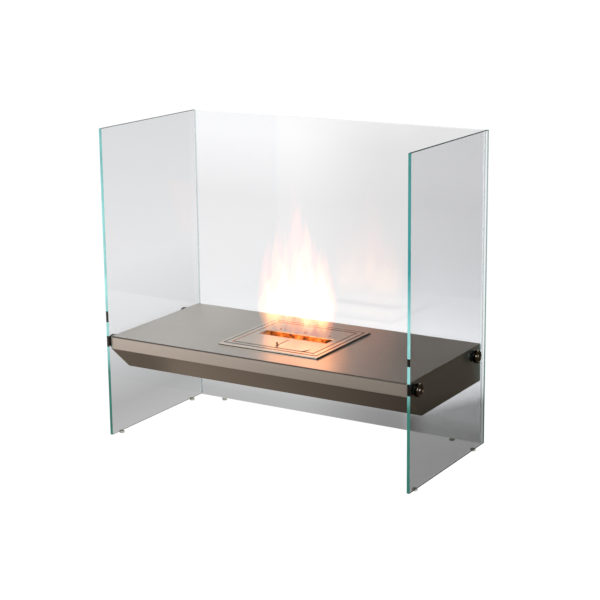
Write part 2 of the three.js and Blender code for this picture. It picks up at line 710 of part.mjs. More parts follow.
// A folded guide under the lid: a flange against the lid, a web and a foot that the shutter slides on.
function rail(name, side, parent) {
  const web = shutterSide + SHUTTER_SIDE_GAP;
  const outline = [
    point(web + RAIL_SHEET - RAIL_FOOT, railFootTop - RAIL_SHEET),
    point(web + RAIL_SHEET, railFootTop - RAIL_SHEET),
    point(web + RAIL_SHEET, lidUnder - RAIL_SHEET),
    point(web + RAIL_FLANGE, lidUnder - RAIL_SHEET),
    point(web + RAIL_FLANGE, lidUnder),
    point(web, lidUnder),
    point(web, railFootTop),
    point(web + RAIL_SHEET - RAIL_FOOT, railFootTop),
  ].map(({ x, y }) => point(side * x, y));
  const length = slotRear + RAIL_REAR_MARGIN - (lidFront + RAIL_FRONT_GAP);
  const shape = shapeOf(side > 0 ? outline : outline.reverse());
  const geometry = new THREE.ExtrudeGeometry(shape, { depth: length, bevelEnabled: false });
  geometry.rotateX(Math.PI / 2);
  piece(name, geometry, "burner", parent).position.y = slotRear + RAIL_REAR_MARGIN;
}

function shutter(parent) {
  const depth = shutterRear - shutterFront;
  const outline = rectangle(2 * shutterSide, depth, point(0, shutterFront + depth / 2));
  const hole = circle(pinHoleRadius, point(0, pinPlace), SMALL_ROUND);
  piece("shutter_plate", plate(shapeOf(outline, [hole]), shutterUnder, shutterTop), "burner", parent);
}

// The pin is gripped in the shutter by two collars, and its head stands above the lid.
function shutterPin(parent) {
  const shank = PIN_DIAMETER / 2;
  const collar = PIN_COLLAR_DIAMETER / 2;
  const head = PIN_HEAD_DIAMETER / 2;
  const headUnder = lidTop + PIN_HEAD_ABOVE_LID;
  const profile = [
    point(0, shutterUnder - PIN_COLLAR),
    point(collar, shutterUnder - PIN_COLLAR),
    point(collar, shutterUnder),
    point(shank, shutterUnder),
    point(shank, shutterTop),
    point(collar, shutterTop),
    point(collar, shutterTop + PIN_COLLAR),
    point(shank, shutterTop + PIN_COLLAR),
    point(shank, headUnder),
    point(head * 0.8, headUnder),
    point(head, headUnder + PIN_HEAD_HEIGHT * 0.3),
    point(head, headUnder + PIN_HEAD_HEIGHT * 0.7),
    point(head * 0.8, headUnder + PIN_HEAD_HEIGHT),
    point(0, headUnder + PIN_HEAD_HEIGHT),
  ];
  const geometry = new THREE.LatheGeometry(profile, SMALL_ROUND).rotateX(Math.PI / 2);
  piece("shutter_pin", geometry, "bolt", parent).position.y = pinPlace;
}

function burner() {
  const group = new THREE.Group();
  group.position.set(0, BURNER_BEHIND_MIDDLE, trayTop);
  burnerGasket(group);
  burnerFrame(group);
  burnerTank(group);
  lidRests(group);
  fibreBlock(group);
  lid(group);
  baffle(group);
  rivets(group);
  SIDES.forEach(([word, side]) => rail("shutter_rail_" + word, side, group));
  shutter(group);
  shutterPin(group);
  return group;
}

const fireplace = new THREE.Group();
fireplace.add(glassAndFeet(), tray(), fixings(), burner());
export default fireplace;
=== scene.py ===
import json
import math
import random

import bpy
from bpy.props import FloatProperty, FloatVectorProperty, PointerProperty
from bpy.types import Operator, Panel, PropertyGroup
from mathutils import Matrix, Vector


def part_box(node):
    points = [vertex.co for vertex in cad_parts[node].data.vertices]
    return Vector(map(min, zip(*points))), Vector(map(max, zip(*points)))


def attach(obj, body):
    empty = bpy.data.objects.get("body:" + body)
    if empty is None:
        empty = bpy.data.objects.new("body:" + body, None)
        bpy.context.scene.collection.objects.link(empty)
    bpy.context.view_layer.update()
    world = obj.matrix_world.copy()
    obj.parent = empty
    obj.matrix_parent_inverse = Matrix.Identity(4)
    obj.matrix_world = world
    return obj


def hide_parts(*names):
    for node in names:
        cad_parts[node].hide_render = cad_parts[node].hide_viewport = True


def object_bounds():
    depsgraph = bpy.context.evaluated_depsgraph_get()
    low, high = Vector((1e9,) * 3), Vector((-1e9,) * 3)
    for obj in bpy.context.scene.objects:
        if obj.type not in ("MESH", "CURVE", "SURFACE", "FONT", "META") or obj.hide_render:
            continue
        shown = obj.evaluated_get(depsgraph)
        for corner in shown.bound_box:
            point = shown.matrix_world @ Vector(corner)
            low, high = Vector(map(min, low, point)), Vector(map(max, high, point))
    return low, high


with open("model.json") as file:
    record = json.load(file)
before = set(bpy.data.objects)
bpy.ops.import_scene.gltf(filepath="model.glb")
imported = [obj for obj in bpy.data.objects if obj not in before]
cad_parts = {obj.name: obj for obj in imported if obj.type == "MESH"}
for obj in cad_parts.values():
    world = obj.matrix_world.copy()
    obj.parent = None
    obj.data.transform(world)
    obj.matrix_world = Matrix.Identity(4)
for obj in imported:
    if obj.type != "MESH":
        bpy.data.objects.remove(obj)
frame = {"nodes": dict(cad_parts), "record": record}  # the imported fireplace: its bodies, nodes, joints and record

bl_info = {
    "name": "Ethanol Fireplace",
    "version": (1, 0, 0),
    "blender": (4, 5, 0),
    "location": "View3D > Sidebar > Fireplace",
    "description": "Dresses a glass and steel ethanol fireplace: panes, tray, fixings, burner and flame",
    "category": "Add Mesh",
}

MM = 0.001
SIDES = ("left", "right")
ENDS = ("front", "rear")
CAD_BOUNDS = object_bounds()
PANE_TOP = CAD_BOUNDS[1].z
DEPTH = CAD_BOUNDS[1].y - CAD_BOUNDS[0].y
BLACK = (0.0, 0.0, 0.0)
WHITE = (1.0, 1.0, 1.0)
# Colour of the painted shade in the joints
JOINT_SHADE = (0.035, 0.020, 0.013)

BODY_OF = {node: body for body, nodes in frame["record"]["behaviour"]["bodies"].items() for node in nodes}


# ---- Shader maths ----


class Value:
    """A node's output in a finish. Arithmetic on it adds Math nodes."""

    def __init__(self, finish, socket):
        self.finish = finish
        self.socket = socket

    def _math(self, operation, *inputs):
        return self.finish.node("ShaderNodeMath", {"operation": operation}, dict(enumerate(inputs)))

    def __add__(self, other):
        return self._math("ADD", self, other)

    def __radd__(self, other):
        return self._math("ADD", other, self)

    def __sub__(self, other):
        return self._math("SUBTRACT", self, other)

    def __rsub__(self, other):
        return self._math("SUBTRACT", other, self)

    def __mul__(self, other):
        return self._math("MULTIPLY", self, other)

    def __rmul__(self, other):
        return self._math("MULTIPLY", other, self)

    def __truediv__(self, other):
        return self._math("DIVIDE", self, other)

    def __pow__(self, other):
        return self._math("POWER", self, other)

    def __gt__(self, other):
        return self._math("GREATER_THAN", self, other)

    def __lt__(self, other):
        return self._math("LESS_THAN", self, other)

    def __abs__(self):
        return self._math("ABSOLUTE", self)

    def at_least(self, other):
        return self._math("MAXIMUM", self, other)


class Finish:
    """A node tree being written: a material's or the world's."""

    def __init__(self, owner):
        owner.use_nodes = True
        self.owner = owner
        self.tree = owner.node_tree
        self.tree.nodes.clear()

    def node(self, kind, settings=None, inputs=None, output=0):
        """Adds a node, sets it up, feeds its sockets and returns one of its outputs."""
        node = self.tree.nodes.new(kind)
        for key, value in (settings or {}).items():
            if key == "stops":
                self._stops(node.color_ramp, value)
            else:
                setattr(node, key, value)
        for key, value in (inputs or {}).items():
            if isinstance(value, Value):
                self.tree.links.new(value.socket, node.inputs[key])
            else:
                node.inputs[key].default_value = value
        return Value(self, node.outputs[output]) if node.outputs else None

    @staticmethod
    def _stops(ramp, stops):
        while len(ramp.elements) < len(stops):
            ramp.elements.new(1.0)
        for element, (place, colour) in zip(ramp.elements, stops):
            element.position = place
            element.color = (*colour, 1.0)

    def place(self):
        return self.node("ShaderNodeTexCoord", output="Object")

    def scaled(self, vector, scale):
        return self.node("ShaderNodeMapping", inputs={"Vector": vector, "Scale": scale})

    def axis(self, vector, name):
        return self.node("ShaderNodeSeparateXYZ", inputs={0: vector}, output=name)

    def noise(self, vector, scale=1.0, detail=2.0, roughness=0.5):
        inputs = {"Vector": vector, "Scale": scale, "Detail": detail, "Roughness": roughness}
        return self.node("ShaderNodeTexNoise", inputs=inputs)

    def ramp(self, value, *stops):
        return self.node("ShaderNodeValToRGB", {"stops": stops}, {0: value})

    def between(self, value, low, high):
        """value from low to high as a smooth step from 0 to 1. low may be the larger of the two."""
        inputs = {"Value": value, "From Min": low, "From Max": high, "To Min": 0.0, "To Max": 1.0}
        return self.node("ShaderNodeMapRange", {"interpolation_type": "SMOOTHSTEP"}, inputs)

    def mix(self, factor, first, second, blend="MIX"):
        settings = {"data_type": "RGBA", "blend_type": blend}
        colours = {6: colour(first), 7: colour(second)}
        return self.node("ShaderNodeMix", settings, {0: factor, **colours}, output=2)

    def blend(self, factor, first, second):
        return self.node("ShaderNodeMixShader", inputs={0: factor, 1: first, 2: second})

    def bump(self, height, distance):
        inputs = {"Height": height, "Distance": distance, "Strength": 1.0}
        return self.node("ShaderNodeBump", inputs=inputs)

    def principled(self, **inputs):
        named = {key.replace("_", " "): colour(value) for key, value in inputs.items()}
        return self.node("ShaderNodeBsdfPrincipled", inputs=named)

    def surface(self, shader):
        self.node("ShaderNodeOutputMaterial", inputs={"Surface": shader})
        return self.owner


def colour(value):
    """A colour of three numbers as a socket takes it. Anything else is passed on."""
    is_colour = not isinstance(value, (Value, int, float)) and len(value) == 3
    return (*value, 1.0) if is_colour else value


def mixed(first, second, share):
    """A fixed colour between two others."""
    return tuple(Vector(first).lerp(Vector(second), share))


def greys(*stops):
    """A ramp's stops from pairs of a place and a grey level."""
    return [(place, (tone,) * 3) for place, tone in stops]


def finish(name):
    return Finish(bpy.data.materials.new(name))


# ---- Modelling helpers ----


def choose(piece):
    bpy.ops.object.select_all(action="DESELECT")
    piece.select_set(True)
    bpy.context.view_layer.objects.active = piece


def apply_modifier(piece, kind, **settings):
    choose(piece)
    modifier = piece.modifiers.new(kind.title(), kind)
    for key, value in settings.items():
        setattr(modifier, key, value)
    bpy.ops.object.modifier_apply(modifier=modifier.name)


def smooth(piece, degrees=35):
    choose(piece)
    bpy.ops.object.shade_smooth_by_angle(angle=math.radians(degrees))


def paint(piece, material):
    piece.data.materials.clear()
    piece.data.materials.append(material)


def settle(piece, node, *more_nodes):
    """Lets a new piece stand for CAD nodes, on their body."""
    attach(piece, BODY_OF[node])
    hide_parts(node, *more_nodes)
    return piece


def with_soft_edges(node, name, edge):
    """A copy of a CAD sheet whose cut edges are broken by a small radius and whose folds are smooth."""
    piece = bpy.data.objects.new(name, frame["nodes"][node].data.copy())
    bpy.context.scene.collection.objects.link(piece)
    choose(piece)
    bpy.ops.object.mode_set(mode="EDIT")
    bpy.ops.mesh.select_all(action="SELECT")
    bpy.ops.mesh.remove_doubles(threshold=0.002 * MM)
    bpy.ops.mesh.dissolve_limited(angle_limit=math.radians(0.5))
    bpy.ops.object.mode_set(mode="OBJECT")
    apply_modifier(
        piece, "BEVEL", width=edge, segments=2, limit_method="ANGLE", angle_limit=math.radians(30)
    )
    smooth(piece)
    apply_modifier(piece, "WEIGHTED_NORMAL", keep_sharp=True)
    return settle(piece, node)


def turned(name, profile):
    """A body turned about Z. profile holds radii and heights, from one end's middle to the other's."""
    radius, height = profile[0]
    bpy.ops.object.select_all(action="DESELECT")
    bpy.ops.mesh.primitive_circle_add(
        vertices=64, radius=radius, fill_type="NGON", location=(0, 0, height)
    )
    piece = bpy.context.object
    piece.name = name
    bpy.ops.object.transform_apply(location=True, rotation=True, scale=True)
    bpy.ops.object.mode_set(mode="EDIT")
    bpy.ops.mesh.select_all(action="SELECT")
    for next_radius, next_height in profile[1:]:
        bpy.ops.mesh.extrude_region_move(TRANSFORM_OT_translate={"value": (0, 0, next_height - height)})
        grow = next_radius / radius
        bpy.ops.transform.resize(value=(grow, grow, 1), center_override=(0, 0, next_height))
        radius, height = next_radius, next_height
    bpy.ops.mesh.select_all(action="SELECT")
    bpy.ops.mesh.normals_make_consistent(inside=False)
    bpy.ops.object.mode_set(mode="OBJECT")
    smooth(piece, 40)
    return piece


def rounded(radius, height, edge, upwards=True):
    """Radius and height pairs of a convex rounded edge that ends a turned face, or starts it."""
    steps = 5
    pairs = []
    for i in range(steps + 1):
        angle = math.pi / 2 * i / steps
        pairs.append((radius - edge + edge * math.cos(angle), height + edge * math.sin(angle)))
    return pairs if upwards else [(r, 2 * height - h) for r, h in reversed(pairs)]


def copies(model, names):
    """The modelled piece under the first name, and a copy with its own mesh under each other name."""
    made = [model]
    model.name = names[0]
    for name in names[1:]:
        piece = bpy.data.objects.new(name, model.data.copy())
        bpy.context.scene.collection.objects.link(piece)
        made.append(piece)
    return made


def middle(node):
    low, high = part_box(node)
    return (low + high) / 2


# ---- Settings ----


class GlassSettings(PropertyGroup):
    # The edge colours are painted light and shade on the ground edges, which also glow with them.
    edge_pale: FloatVectorProperty(
        name="Edge, pale",
        description="Colour of a pane's upright front edge where most light leaves it",
        subtype="COLOR",
        default=(0.235, 0.54, 0.54),
    )
    edge_teal: FloatVectorProperty(
        name="Edge, teal",
        description="Colour of the same edge where it is richest",
        subtype="COLOR",
        default=(0.012, 0.225, 0.245),
    )
    edge_deep: FloatVectorProperty(
        name="Edge, deep",
        description="Colour of the same edge below the tray",
        subtype="COLOR",
        default=(0.028, 0.145, 0.118),
    )
    edge_dark: FloatVectorProperty(
        name="Edge, dark",
        description="Colour of the side panes' level edges, which little light reaches",
        subtype="COLOR",
        default=(0.012, 0.032, 0.031),
    )
    edge_grey: FloatVectorProperty(
        name="Edge, bonded",
        description="Colour of edges that are glued or look on a pale wall",
        subtype="COLOR",
        default=(0.46, 0.50, 0.52),
    )
    # Painted reflection: the bolt marks are painted into the front edges at fixed heights.
    mark_height: FloatProperty(
        name="Bolt mark",
        description="Height of the dark marks that the bolts' sleeves make in the front edges",
        unit="LENGTH",
        default=32 * MM,
    )


class SteelSettings(PropertyGroup):
    tray: FloatVectorProperty(
        name="Tray",
        description="Colour of the tray's brushed steel",
        subtype="COLOR",
        default=(0.56, 0.54, 0.51),
    )
    underside: FloatVectorProperty(
        name="Underside",
        description="Colour of the tray's underside, which lies in its own shade",
        subtype="COLOR",
        default=(0.38, 0.365, 0.38),
    )
    burner: FloatVectorProperty(
        name="Burner",
        description="Colour of the burner's satin steel",
        subtype="COLOR",
        default=(0.69, 0.66, 0.62),
    )
    edge: FloatProperty(
        name="Edge radius",
        description="Radius that breaks the cut edges of the sheets",
        unit="LENGTH",
        default=0.4 * MM,
        min=0,
    )


class BoltSettings(PropertyGroup):
    head_height: FloatProperty(
        name="Head height",
        description="Height of a bolt's head over its washer",
        unit="LENGTH",
        default=9.5 * MM,
    )
    shank: FloatProperty(
        name="Shank", description="Diameter of a bolt's shank", unit="LENGTH", default=8 * MM
    )
    edge: FloatProperty(
        name="Head edge", description="Radius round a bolt's head", unit="LENGTH", default=3 * MM
    )
    dish: FloatProperty(
        name="Dish",
        description="Depth of the dished face of a bolt's head",
        unit="LENGTH",
        default=2 * MM,
    )
    pip: FloatProperty(
        name="Pip",
        description="Diameter of the polished pip in a head's middle",
        unit="LENGTH",
        default=6 * MM,
    )


class FlameSettings(PropertyGroup):
    veil: FloatVectorProperty(
        name="Veil",
        description="Colour of the flame's thin tips",
        subtype="COLOR",
        default=(1.0, 0.13, 0.06),
    )
    body: FloatVectorProperty(
        name="Body",
        description="Colour of the flame's body",
        subtype="COLOR",
        default=(1.0, 0.50, 0.10),
    )
    core: FloatVectorProperty(
        name="Core",
        description="Colour of the flame's core",
        subtype="COLOR",
        default=(1.0, 0.76, 0.40),
    )
    height: FloatProperty(
        name="Height",
        description="Height of the tallest full tongue",
        unit="LENGTH",
        default=365 * MM,
    )
    brightness: FloatProperty(
        name="Brightness", description="Factor on all the flame's light", default=1.0, min=0
    )


class StageSettings(PropertyGroup):
    floor_size: FloatProperty(
        name="Floor", description="Width of the floor", unit="LENGTH", default=16.0
    )
    camera_place: FloatVectorProperty(
        name="Camera",
        description="Where the camera stands",
        subtype="TRANSLATION",
        unit="LENGTH",
        default=(2.1118, -3.4496, 1.4011),
    )
    azimuth: FloatProperty(
        name="Azimuth",
        description="Turn of the view round the object",
        subtype="ANGLE",
        default=math.radians(31.22),
    )
    elevation: FloatProperty(
        name="Elevation",
        description="Tilt of the view above the horizon",
        subtype="ANGLE",
        default=math.radians(13.04),
    )
    roll: FloatProperty(
        name="Roll",
        description="Turn of the picture",
        subtype="ANGLE",
        default=math.radians(-0.61),
    )
    lens: FloatProperty(name="Lens", description="Focal length", unit="CAMERA", default=96.35)
    shift: FloatProperty(
        name="Shift", description="Upward shift of the picture, as a share of its width", default=-0.05
    )


# ---- Finishes ----


# Painted shade: the light that a pane lets through, from its foot to its top. The greys stand for the shaded studio
# seen through the glass, not for a tint of the glass.
LEFT_PAINTED_SHADE = greys((0, 0.71), (0.1, 0.67), (0.2, 0.745), (0.36, 0.88), (0.56, 0.935), (1, 0.885))
RIGHT_PAINTED_SHADE = greys(
    (0, 0.54), (0.14, 0.57), (0.17, 0.81), (0.2, 0.92), (0.33, 1.0), (0.85, 1.0), (1, 0.97)
)
RIGHT_SLANT = 0.09  # how much higher the right pane's stops lie at the front, as a share of the height
# The same for the back pane, at three places along X
BACK_PAINTED_SHADE = (
    (-0.15, greys(
        (0, 0.68), (0.04, 0.7), (0.14, 0.87), (0.32, 0.95), (0.45, 0.925), (0.72, 0.91), (0.93, 0.98)
    )),
    (0.2, greys(
        (0, 0.5), (0.05, 0.52), (0.16, 0.8), (0.34, 0.965),
        (0.55, 0.86), (0.75, 0.84), (0.92, 0.86), (1, 0.9),
    )),
    (0.3, greys(
        (0, 0.85), (0.033, 0.87), (0.08, 1.0), (0.35, 1.0),
        (0.43, 0.94), (0.6, 0.87), (0.76, 0.83), (1, 0.87),
    )),
)


def painted_shade_through(f, place, share, columns):
    """The light let through at a share of the height, as painted shade. columns pairs places along X with a ramp's
    stops.
    """
    tone = f.ramp(share, *columns[0][1])
    for (start, _), (end, stops) in zip(columns, columns[1:]):
        tone = f.mix(f.between(f.axis(place, "X"), start, end), tone, f.ramp(share, *stops))
    return tone


def edge_tint(f, place, normal, upright, front, rear, level, marks):
    """The colour of a pane's ground edges: front and rear over the height, and level above and below. These colours
    are painted light and shade, which the edges also glow with, and the marks are the bolts seen in the edge,
    painted in.
    """
    ground = f.noise(f.scaled(place, (60, 60, 14)), detail=4, roughness=0.6)
    tint = f.mix(0.35 * f.between(ground, 0.4, 0.7), f.ramp(upright, *front), (0.01, 0.05, 0.05))
    # Painted reflection: dark marks at fixed heights, for the bolts seen in the edge and their reflection.
    for middle_height, size in marks:
        half = size / 2
        inside = f.between(abs(f.axis(place, "Z") - middle_height), half, half * 0.85)
        tint = f.mix(inside, tint, (0.001, 0.001, 0.001))
    tint = f.mix(f.axis(place, "Y") > 0, tint, f.ramp(upright, *rear))
    return f.mix(abs(f.axis(normal, "Z")) > 0.5, tint, level)


def glass(name, normal_axis, clear, front, rear, level, marks=(), slant=0.0):
    """Clear glass: broad faces that mirror a little, and ground edges that glow green with painted light.

    clear pairs places along X with the stops of the clearness there, over the pane's height: painted
    shade, greys for the shaded studio seen through the pane. front and rear are stops over the height
    too, of the edges' painted light, and marks are the heights and sizes of dark bolt marks painted in
    the front edge, for the bolts seen in it and their reflection. slant raises the stops at the front, as a
    share of the height. An edge seen through its own pane is drawn in by refraction to a thin line."""
    f = finish(name)
    place = f.place()
    normal = f.node("ShaderNodeTexCoord", output="Normal")
    upright = f.axis(place, "Z") / PANE_TOP
    across = f.axis(place, "Y") / DEPTH + 0.5
    tone = painted_shade_through(f, place, upright - slant * (1.0 - across), clear)
    # Painted shade: where a pane's greys are dark, a faint yellow-green glow stands in for what lies behind.
    pane = f.blend(
        1.0 - tone,
        f.node("ShaderNodeBsdfTransparent", inputs={"Color": (0.984, 0.99, 1.0, 1)}),
        f.node("ShaderNodeEmission", inputs={"Color": (0.9, 0.95, 0.6, 1), "Strength": 0.02}),
    )
    facing = f.node("ShaderNodeLayerWeight", inputs={"Blend": 0.5}, output="Facing")
    gloss = f.node("ShaderNodeBsdfGlossy", inputs={"Color": (1, 1, 1, 1), "Roughness": 0.0})
    face = f.blend(0.04 + 0.96 * facing**5, pane, gloss)
    tint = edge_tint(f, place, normal, upright, front, rear, level, marks)
    # Painted light: the edges glow with their tint, for the light that the glass carries to them.
    edge = f.principled(
        Base_Color=tint, Roughness=0.3, Emission_Color=tint, Emission_Strength=0.8, IOR=1.5
    )
    inside = f.node("ShaderNodeNewGeometry", output="Backfacing")
    beyond = f.axis(place, "X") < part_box(name)[1].x - 4 * MM
    edge = f.blend(inside * beyond, edge, pane)
    broad = abs(f.axis(normal, normal_axis)) > 0.9
    return f.surface(f.blend(broad, edge, face))


def outline(f, place, box, grow=0.0):
    """How far a point lies outside a box seen from above, in metres. Inside it is below zero."""
    low, high = box
    middle_x, middle_y = (low.x + high.x) / 2, (low.y + high.y) / 2
    past_x = abs(f.axis(place, "X") - middle_x) - ((high.x - low.x) / 2 + grow)
    past_y = abs(f.axis(place, "Y") - middle_y) - ((high.y - low.y) / 2 + grow)
    return past_x.at_least(0.5 * past_y)


def brushed(name, tint, along, roughness, warmth=None, joints=(), lit_joint=None, fold=None, shaded=False):
    """Steel sheet brushed along one axis.

    warmth is a colour that tints it in clouds. joints are boxes with a growth and a half width: a line of
    painted shade is drawn on top where each ends, wider than the gap, for the shade in it. The left of
    lit_joint glows with the fire's light. fold is the box of a sheet whose upper front edge is folded,
    where a dark line is painted for the dark ceiling that the steel would mirror there: a painted
    reflection. shaded darkens the faces to the right."""
    f = finish(name)
    place = f.place()
    normal = f.node("ShaderNodeTexCoord", output="Normal")
    fine = {"X": (3, 900, 900), "Y": (900, 3, 900)}[along]
    broad = {"X": (1.2, 150, 150), "Y": (150, 1.2, 150)}[along]
    hairs = f.noise(f.scaled(place, fine), detail=3, roughness=0.6)
    bands = f.noise(f.scaled(place, broad), detail=2)
    clouds = f.noise(place, scale=5.0, detail=3)
    shade = 0.88 + 0.12 * (hairs + bands)
    grey = f.node("ShaderNodeCombineColor", inputs={0: shade, 1: shade, 2: shade})
    tone = f.mix(1.0, tint, grey, "MULTIPLY")
    if warmth:
        tone = f.mix(f.between(clouds, 0.45, 0.75) * 0.5, tone, warmth)
    # Painted shade: a dark line on top along each joint, wider than the gap, for the shade in it.
    for box, grow, half in joints:
        line = f.between(abs(outline(f, place, box, grow)), half, 0.55 * half)
        tone = f.mix(0.97 * line * (abs(f.axis(normal, "Z")) > 0.5), tone, JOINT_SHADE)
    if shaded:
        tone = f.mix(0.93 * (f.axis(normal, "X") > 0.5), tone, (0.02, 0.015, 0.012))
    # Painted reflection: a dark line along the fold, for the dark ceiling that the steel would mirror there.
    if fold:
        front, top = fold[0].y, fold[1].z
        line = f.between(f.axis(place, "Y"), front + 3 * MM, front + 2.5 * MM)
        line = line * f.between(f.axis(place, "Z"), top - 3.4 * MM, top - 2.8 * MM)
        tone = f.mix(0.9 * line, tone, (0.05, 0.042, 0.036))
    glow = {}
    if lit_joint:
        box, grow, half = lit_joint
        line = f.between(abs(outline(f, place, box, grow)), half, 0.4 * half)
        left = f.between(f.axis(place, "X"), box[0].x + 6 * MM, box[0].x + 3 * MM)
        fire = f.mix(line * left, BLACK, (0.50, 0.17, 0.045))
        glow = {"Emission_Color": fire, "Emission_Strength": 1.0}
    rough = roughness + 0.10 * (hairs - 0.5) + 0.06 * (clouds - 0.5)
    bump = f.bump(hairs + 0.4 * bands, 0.04 * MM)
    return f.surface(f.principled(Base_Color=tone, Metallic=1.0, Roughness=rough, Normal=bump, **glow))


def heated_steel():
    """The baffle, browned and sooted by the flame, and with the flame's light painted on it as a glow, except at
    its ends.
    """
    f = finish("heated_steel")
    place = f.place()
    blotch = f.noise(f.scaled(place, (60, 60, 45)), detail=4, roughness=0.65)
    brown, straw = (0.32, 0.11, 0.03), (0.62, 0.30, 0.10)
    tone = f.ramp(blotch, (0.36, (0.02, 0.008, 0.004)), (0.5, brown), (0.66, straw))
    off_middle = abs(f.axis(place, "X") - middle("flame_baffle").x)
    # Painted light: the baffle glows in its blotches, fading out towards its ends.
    glow = f.ramp(blotch, (0.38, BLACK), (0.55, (0.55, 0.13, 0.012)), (0.7, (0.95, 0.34, 0.05)))
    glow = f.mix(f.between(off_middle, 98 * MM, 72 * MM), BLACK, glow)
    return f.surface(
        f.principled(
            Base_Color=tone,
            Metallic=0.6,
            Roughness=0.45 + 0.3 * blotch,
            Normal=f.bump(blotch, 0.6 * MM),
            Emission_Color=glow,
            Emission_Strength=0.42,
        )
    )


def dark_chrome(pip):
    """The bolts' finish: an olive brown face on a black head, with a bright pip of that diameter."""
    f = finish("dark_chrome")
    place = f.place()
    front, rear = middle("bolt_right_front"), middle("bolt_right_rear")
    along = abs(abs(f.axis(place, "Y") - (front.y + rear.y) / 2) - (rear.y - front.y) / 2)
    radius = (along**2 + (f.axis(place, "Z") - front.z) ** 2) ** 0.5
    spin = f.noise(place, scale=220.0, detail=3)
    normal = f.node("ShaderNodeTexCoord", output="Normal")
    face = f.between(abs(f.axis(normal, "X")), 0.2, 0.55)
    olive = f.mix(spin, (0.13, 0.10, 0.07), (0.24, 0.20, 0.15))
    tone = f.mix(face, (0.006, 0.006, 0.005), olive)
    tone = f.mix(radius < 0.6 * pip, tone, (0.95, 0.94, 0.92))
    return f.surface(f.principled(Base_Color=tone, Metallic=1.0, Roughness=0.12 + 0.08 * spin))


def plain(name, light, dark, roughness, scale, depth=0.0, metallic=0.0, alpha=1.0, glow=0.0):
    """A finish with fine mottling, for plastic, tape, fibre and plated parts.

    glow is painted light, an emission of the finish's own tone, for the light that a clear plastic passes on."""
    f = finish(name)
    grain = f.noise(f.place(), scale=scale, detail=4, roughness=0.6)
    tone = f.mix(grain, dark, light)
    return f.surface(
        f.principled(
            Base_Color=tone,
            Emission_Color=tone,
            Emission_Strength=glow,
            Metallic=metallic,
            Roughness=roughness - 0.1 + 0.2 * grain,
            Alpha=alpha,
            Normal=f.bump(grain, depth),
        )
    )


# ---- Pieces ----


class FIREPLACE_OT_glass(Operator):
    """Finishes the three panes and the adhesive between them"""

    bl_idname = "fireplace.glass"
    bl_label = "Glass"

    def execute(self, context):
        edges = context.scene.fireplace_glass
        pale, teal, deep = edges.edge_pale, edges.edge_teal, edges.edge_deep
        dark, grey = edges.edge_dark, edges.edge_grey
        bonded = mixed(grey, WHITE, 0.6)
        # Painted reflection: the bolt marks are painted into the front edges at these fixed heights.
        bolt = middle("bolt_left_front").z + 7 * MM  # the height at which the edge shows the bolt
        mirrored = bolt + 67 * MM  # and the bolt's reflection
        left = glass(
            "glass_left",
            "X",
            clear=[(0, LEFT_PAINTED_SHADE)],
            front=((0, deep), (0.22, deep), (0.3, pale), (0.5, pale), (1, mixed(pale, teal, 0.5))),
            rear=((0, deep), (0.3, grey)),
            level=dark,
            marks=((bolt, edges.mark_height), (mirrored, edges.mark_height)),
        )
        right = glass(
            "glass_right",
            "X",
            clear=[(0, RIGHT_PAINTED_SHADE)],
            front=(
                (0, deep),
                (0.26, deep),
                (0.33, pale),
                (0.48, pale),
                (0.66, teal),
                (1, mixed(teal, deep, 0.6)),
            ),
            rear=((0, deep), (0.5, mixed(deep, grey, 0.35)), (1, mixed(deep, grey, 0.5))),
            level=dark,
            marks=((bolt, edges.mark_height), (mirrored, 0.65 * edges.mark_height)),
            slant=RIGHT_SLANT,
        )
        back = glass(
            "glass_back",
            "Y",
            clear=BACK_PAINTED_SHADE,
            front=((0, bonded), (1, bonded)),
            rear=((0, bonded), (1, bonded)),
            level=mixed(grey, WHITE, 0.3),
        )
        for node, material in (("glass_left", left), ("glass_right", right), ("glass_back", back)):
            paint(frame["nodes"][node], material)
        bond = plain("clear_bond", (0.8, 0.86, 0.85), (0.55, 0.64, 0.63), 0.2, 300, alpha=0.55)
        for word in SIDES:
            paint(frame["nodes"]["corner_bond_" + word], bond)
        return {"FINISHED"}


class FIREPLACE_OT_feet(Operator):
    """Models the six feet under the panes"""

    bl_idname = "fireplace.feet"
    bl_label = "Feet"

    def execute(self, context):
        nodes = [f"foot_{side}_{end}" for side in SIDES for end in ENDS]
        nodes += ["foot_back_" + side for side in SIDES]
        low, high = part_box(nodes[0])
        radius, height = (high.x - low.x) / 2, high.z
        edge, lip = 1.5 * MM, 0.6 * MM
        hollow = radius * 0.45  # of the shallow cup in the foot's underside
        profile = [(hollow, lip), (hollow + lip, 0.0)]
        profile += rounded(radius, edge, edge, upwards=False)
        profile += [(radius, edge), (radius, height - lip), (radius - lip, height)]
        model = turned("foot", profile)
        # Painted light: the pads glow a little with their own tone.
        clear = plain(
            "foot_pad", (0.72, 0.74, 0.70), (0.58, 0.60, 0.56), 0.35, 250, 0.1 * MM, alpha=0.85, glow=0.12
        )
        for node, piece in zip(nodes, copies(model, [node + "_pad" for node in nodes])):
            centre = middle(node)
            piece.data.transform(Matrix.Translation((centre.x, centre.y, 0)))
            paint(piece, clear)
            settle(piece, node)
        return {"FINISHED"}


class FIREPLACE_OT_tray(Operator):
    """Finishes the folded tray"""

    bl_idname = "fireplace.tray"
    bl_label = "Tray"

    def execute(self, context):
        steel = context.scene.fireplace_steel
        # Painted shade: a dark line on the tray round the burner frame, for the shade where the frame stands on it.
        frame_edge = (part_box("burner_frame"), 0.6 * MM, 1.6 * MM)
        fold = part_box("tray_top")
        sheet = brushed("tray_steel", steel.tray, "X", 0.42, joints=(frame_edge,), fold=fold)
        end = brushed("tray_end_steel", steel.tray, "Y", 0.36)
        # Painted shade: the underside is the tray's steel in a darker colour, for the shade it lies in.
        under = brushed("tray_underside_steel", steel.underside, "X", 0.38)
        for node, material in (("tray_top", sheet), ("tray_underside", under)):
            paint(with_soft_edges(node, node + "_sheet", steel.edge), material)
        for side in SIDES:
            paint(with_soft_edges("tray_end_" + side, f"tray_end_{side}_plate", steel.edge), end)
        return {"FINISHED"}


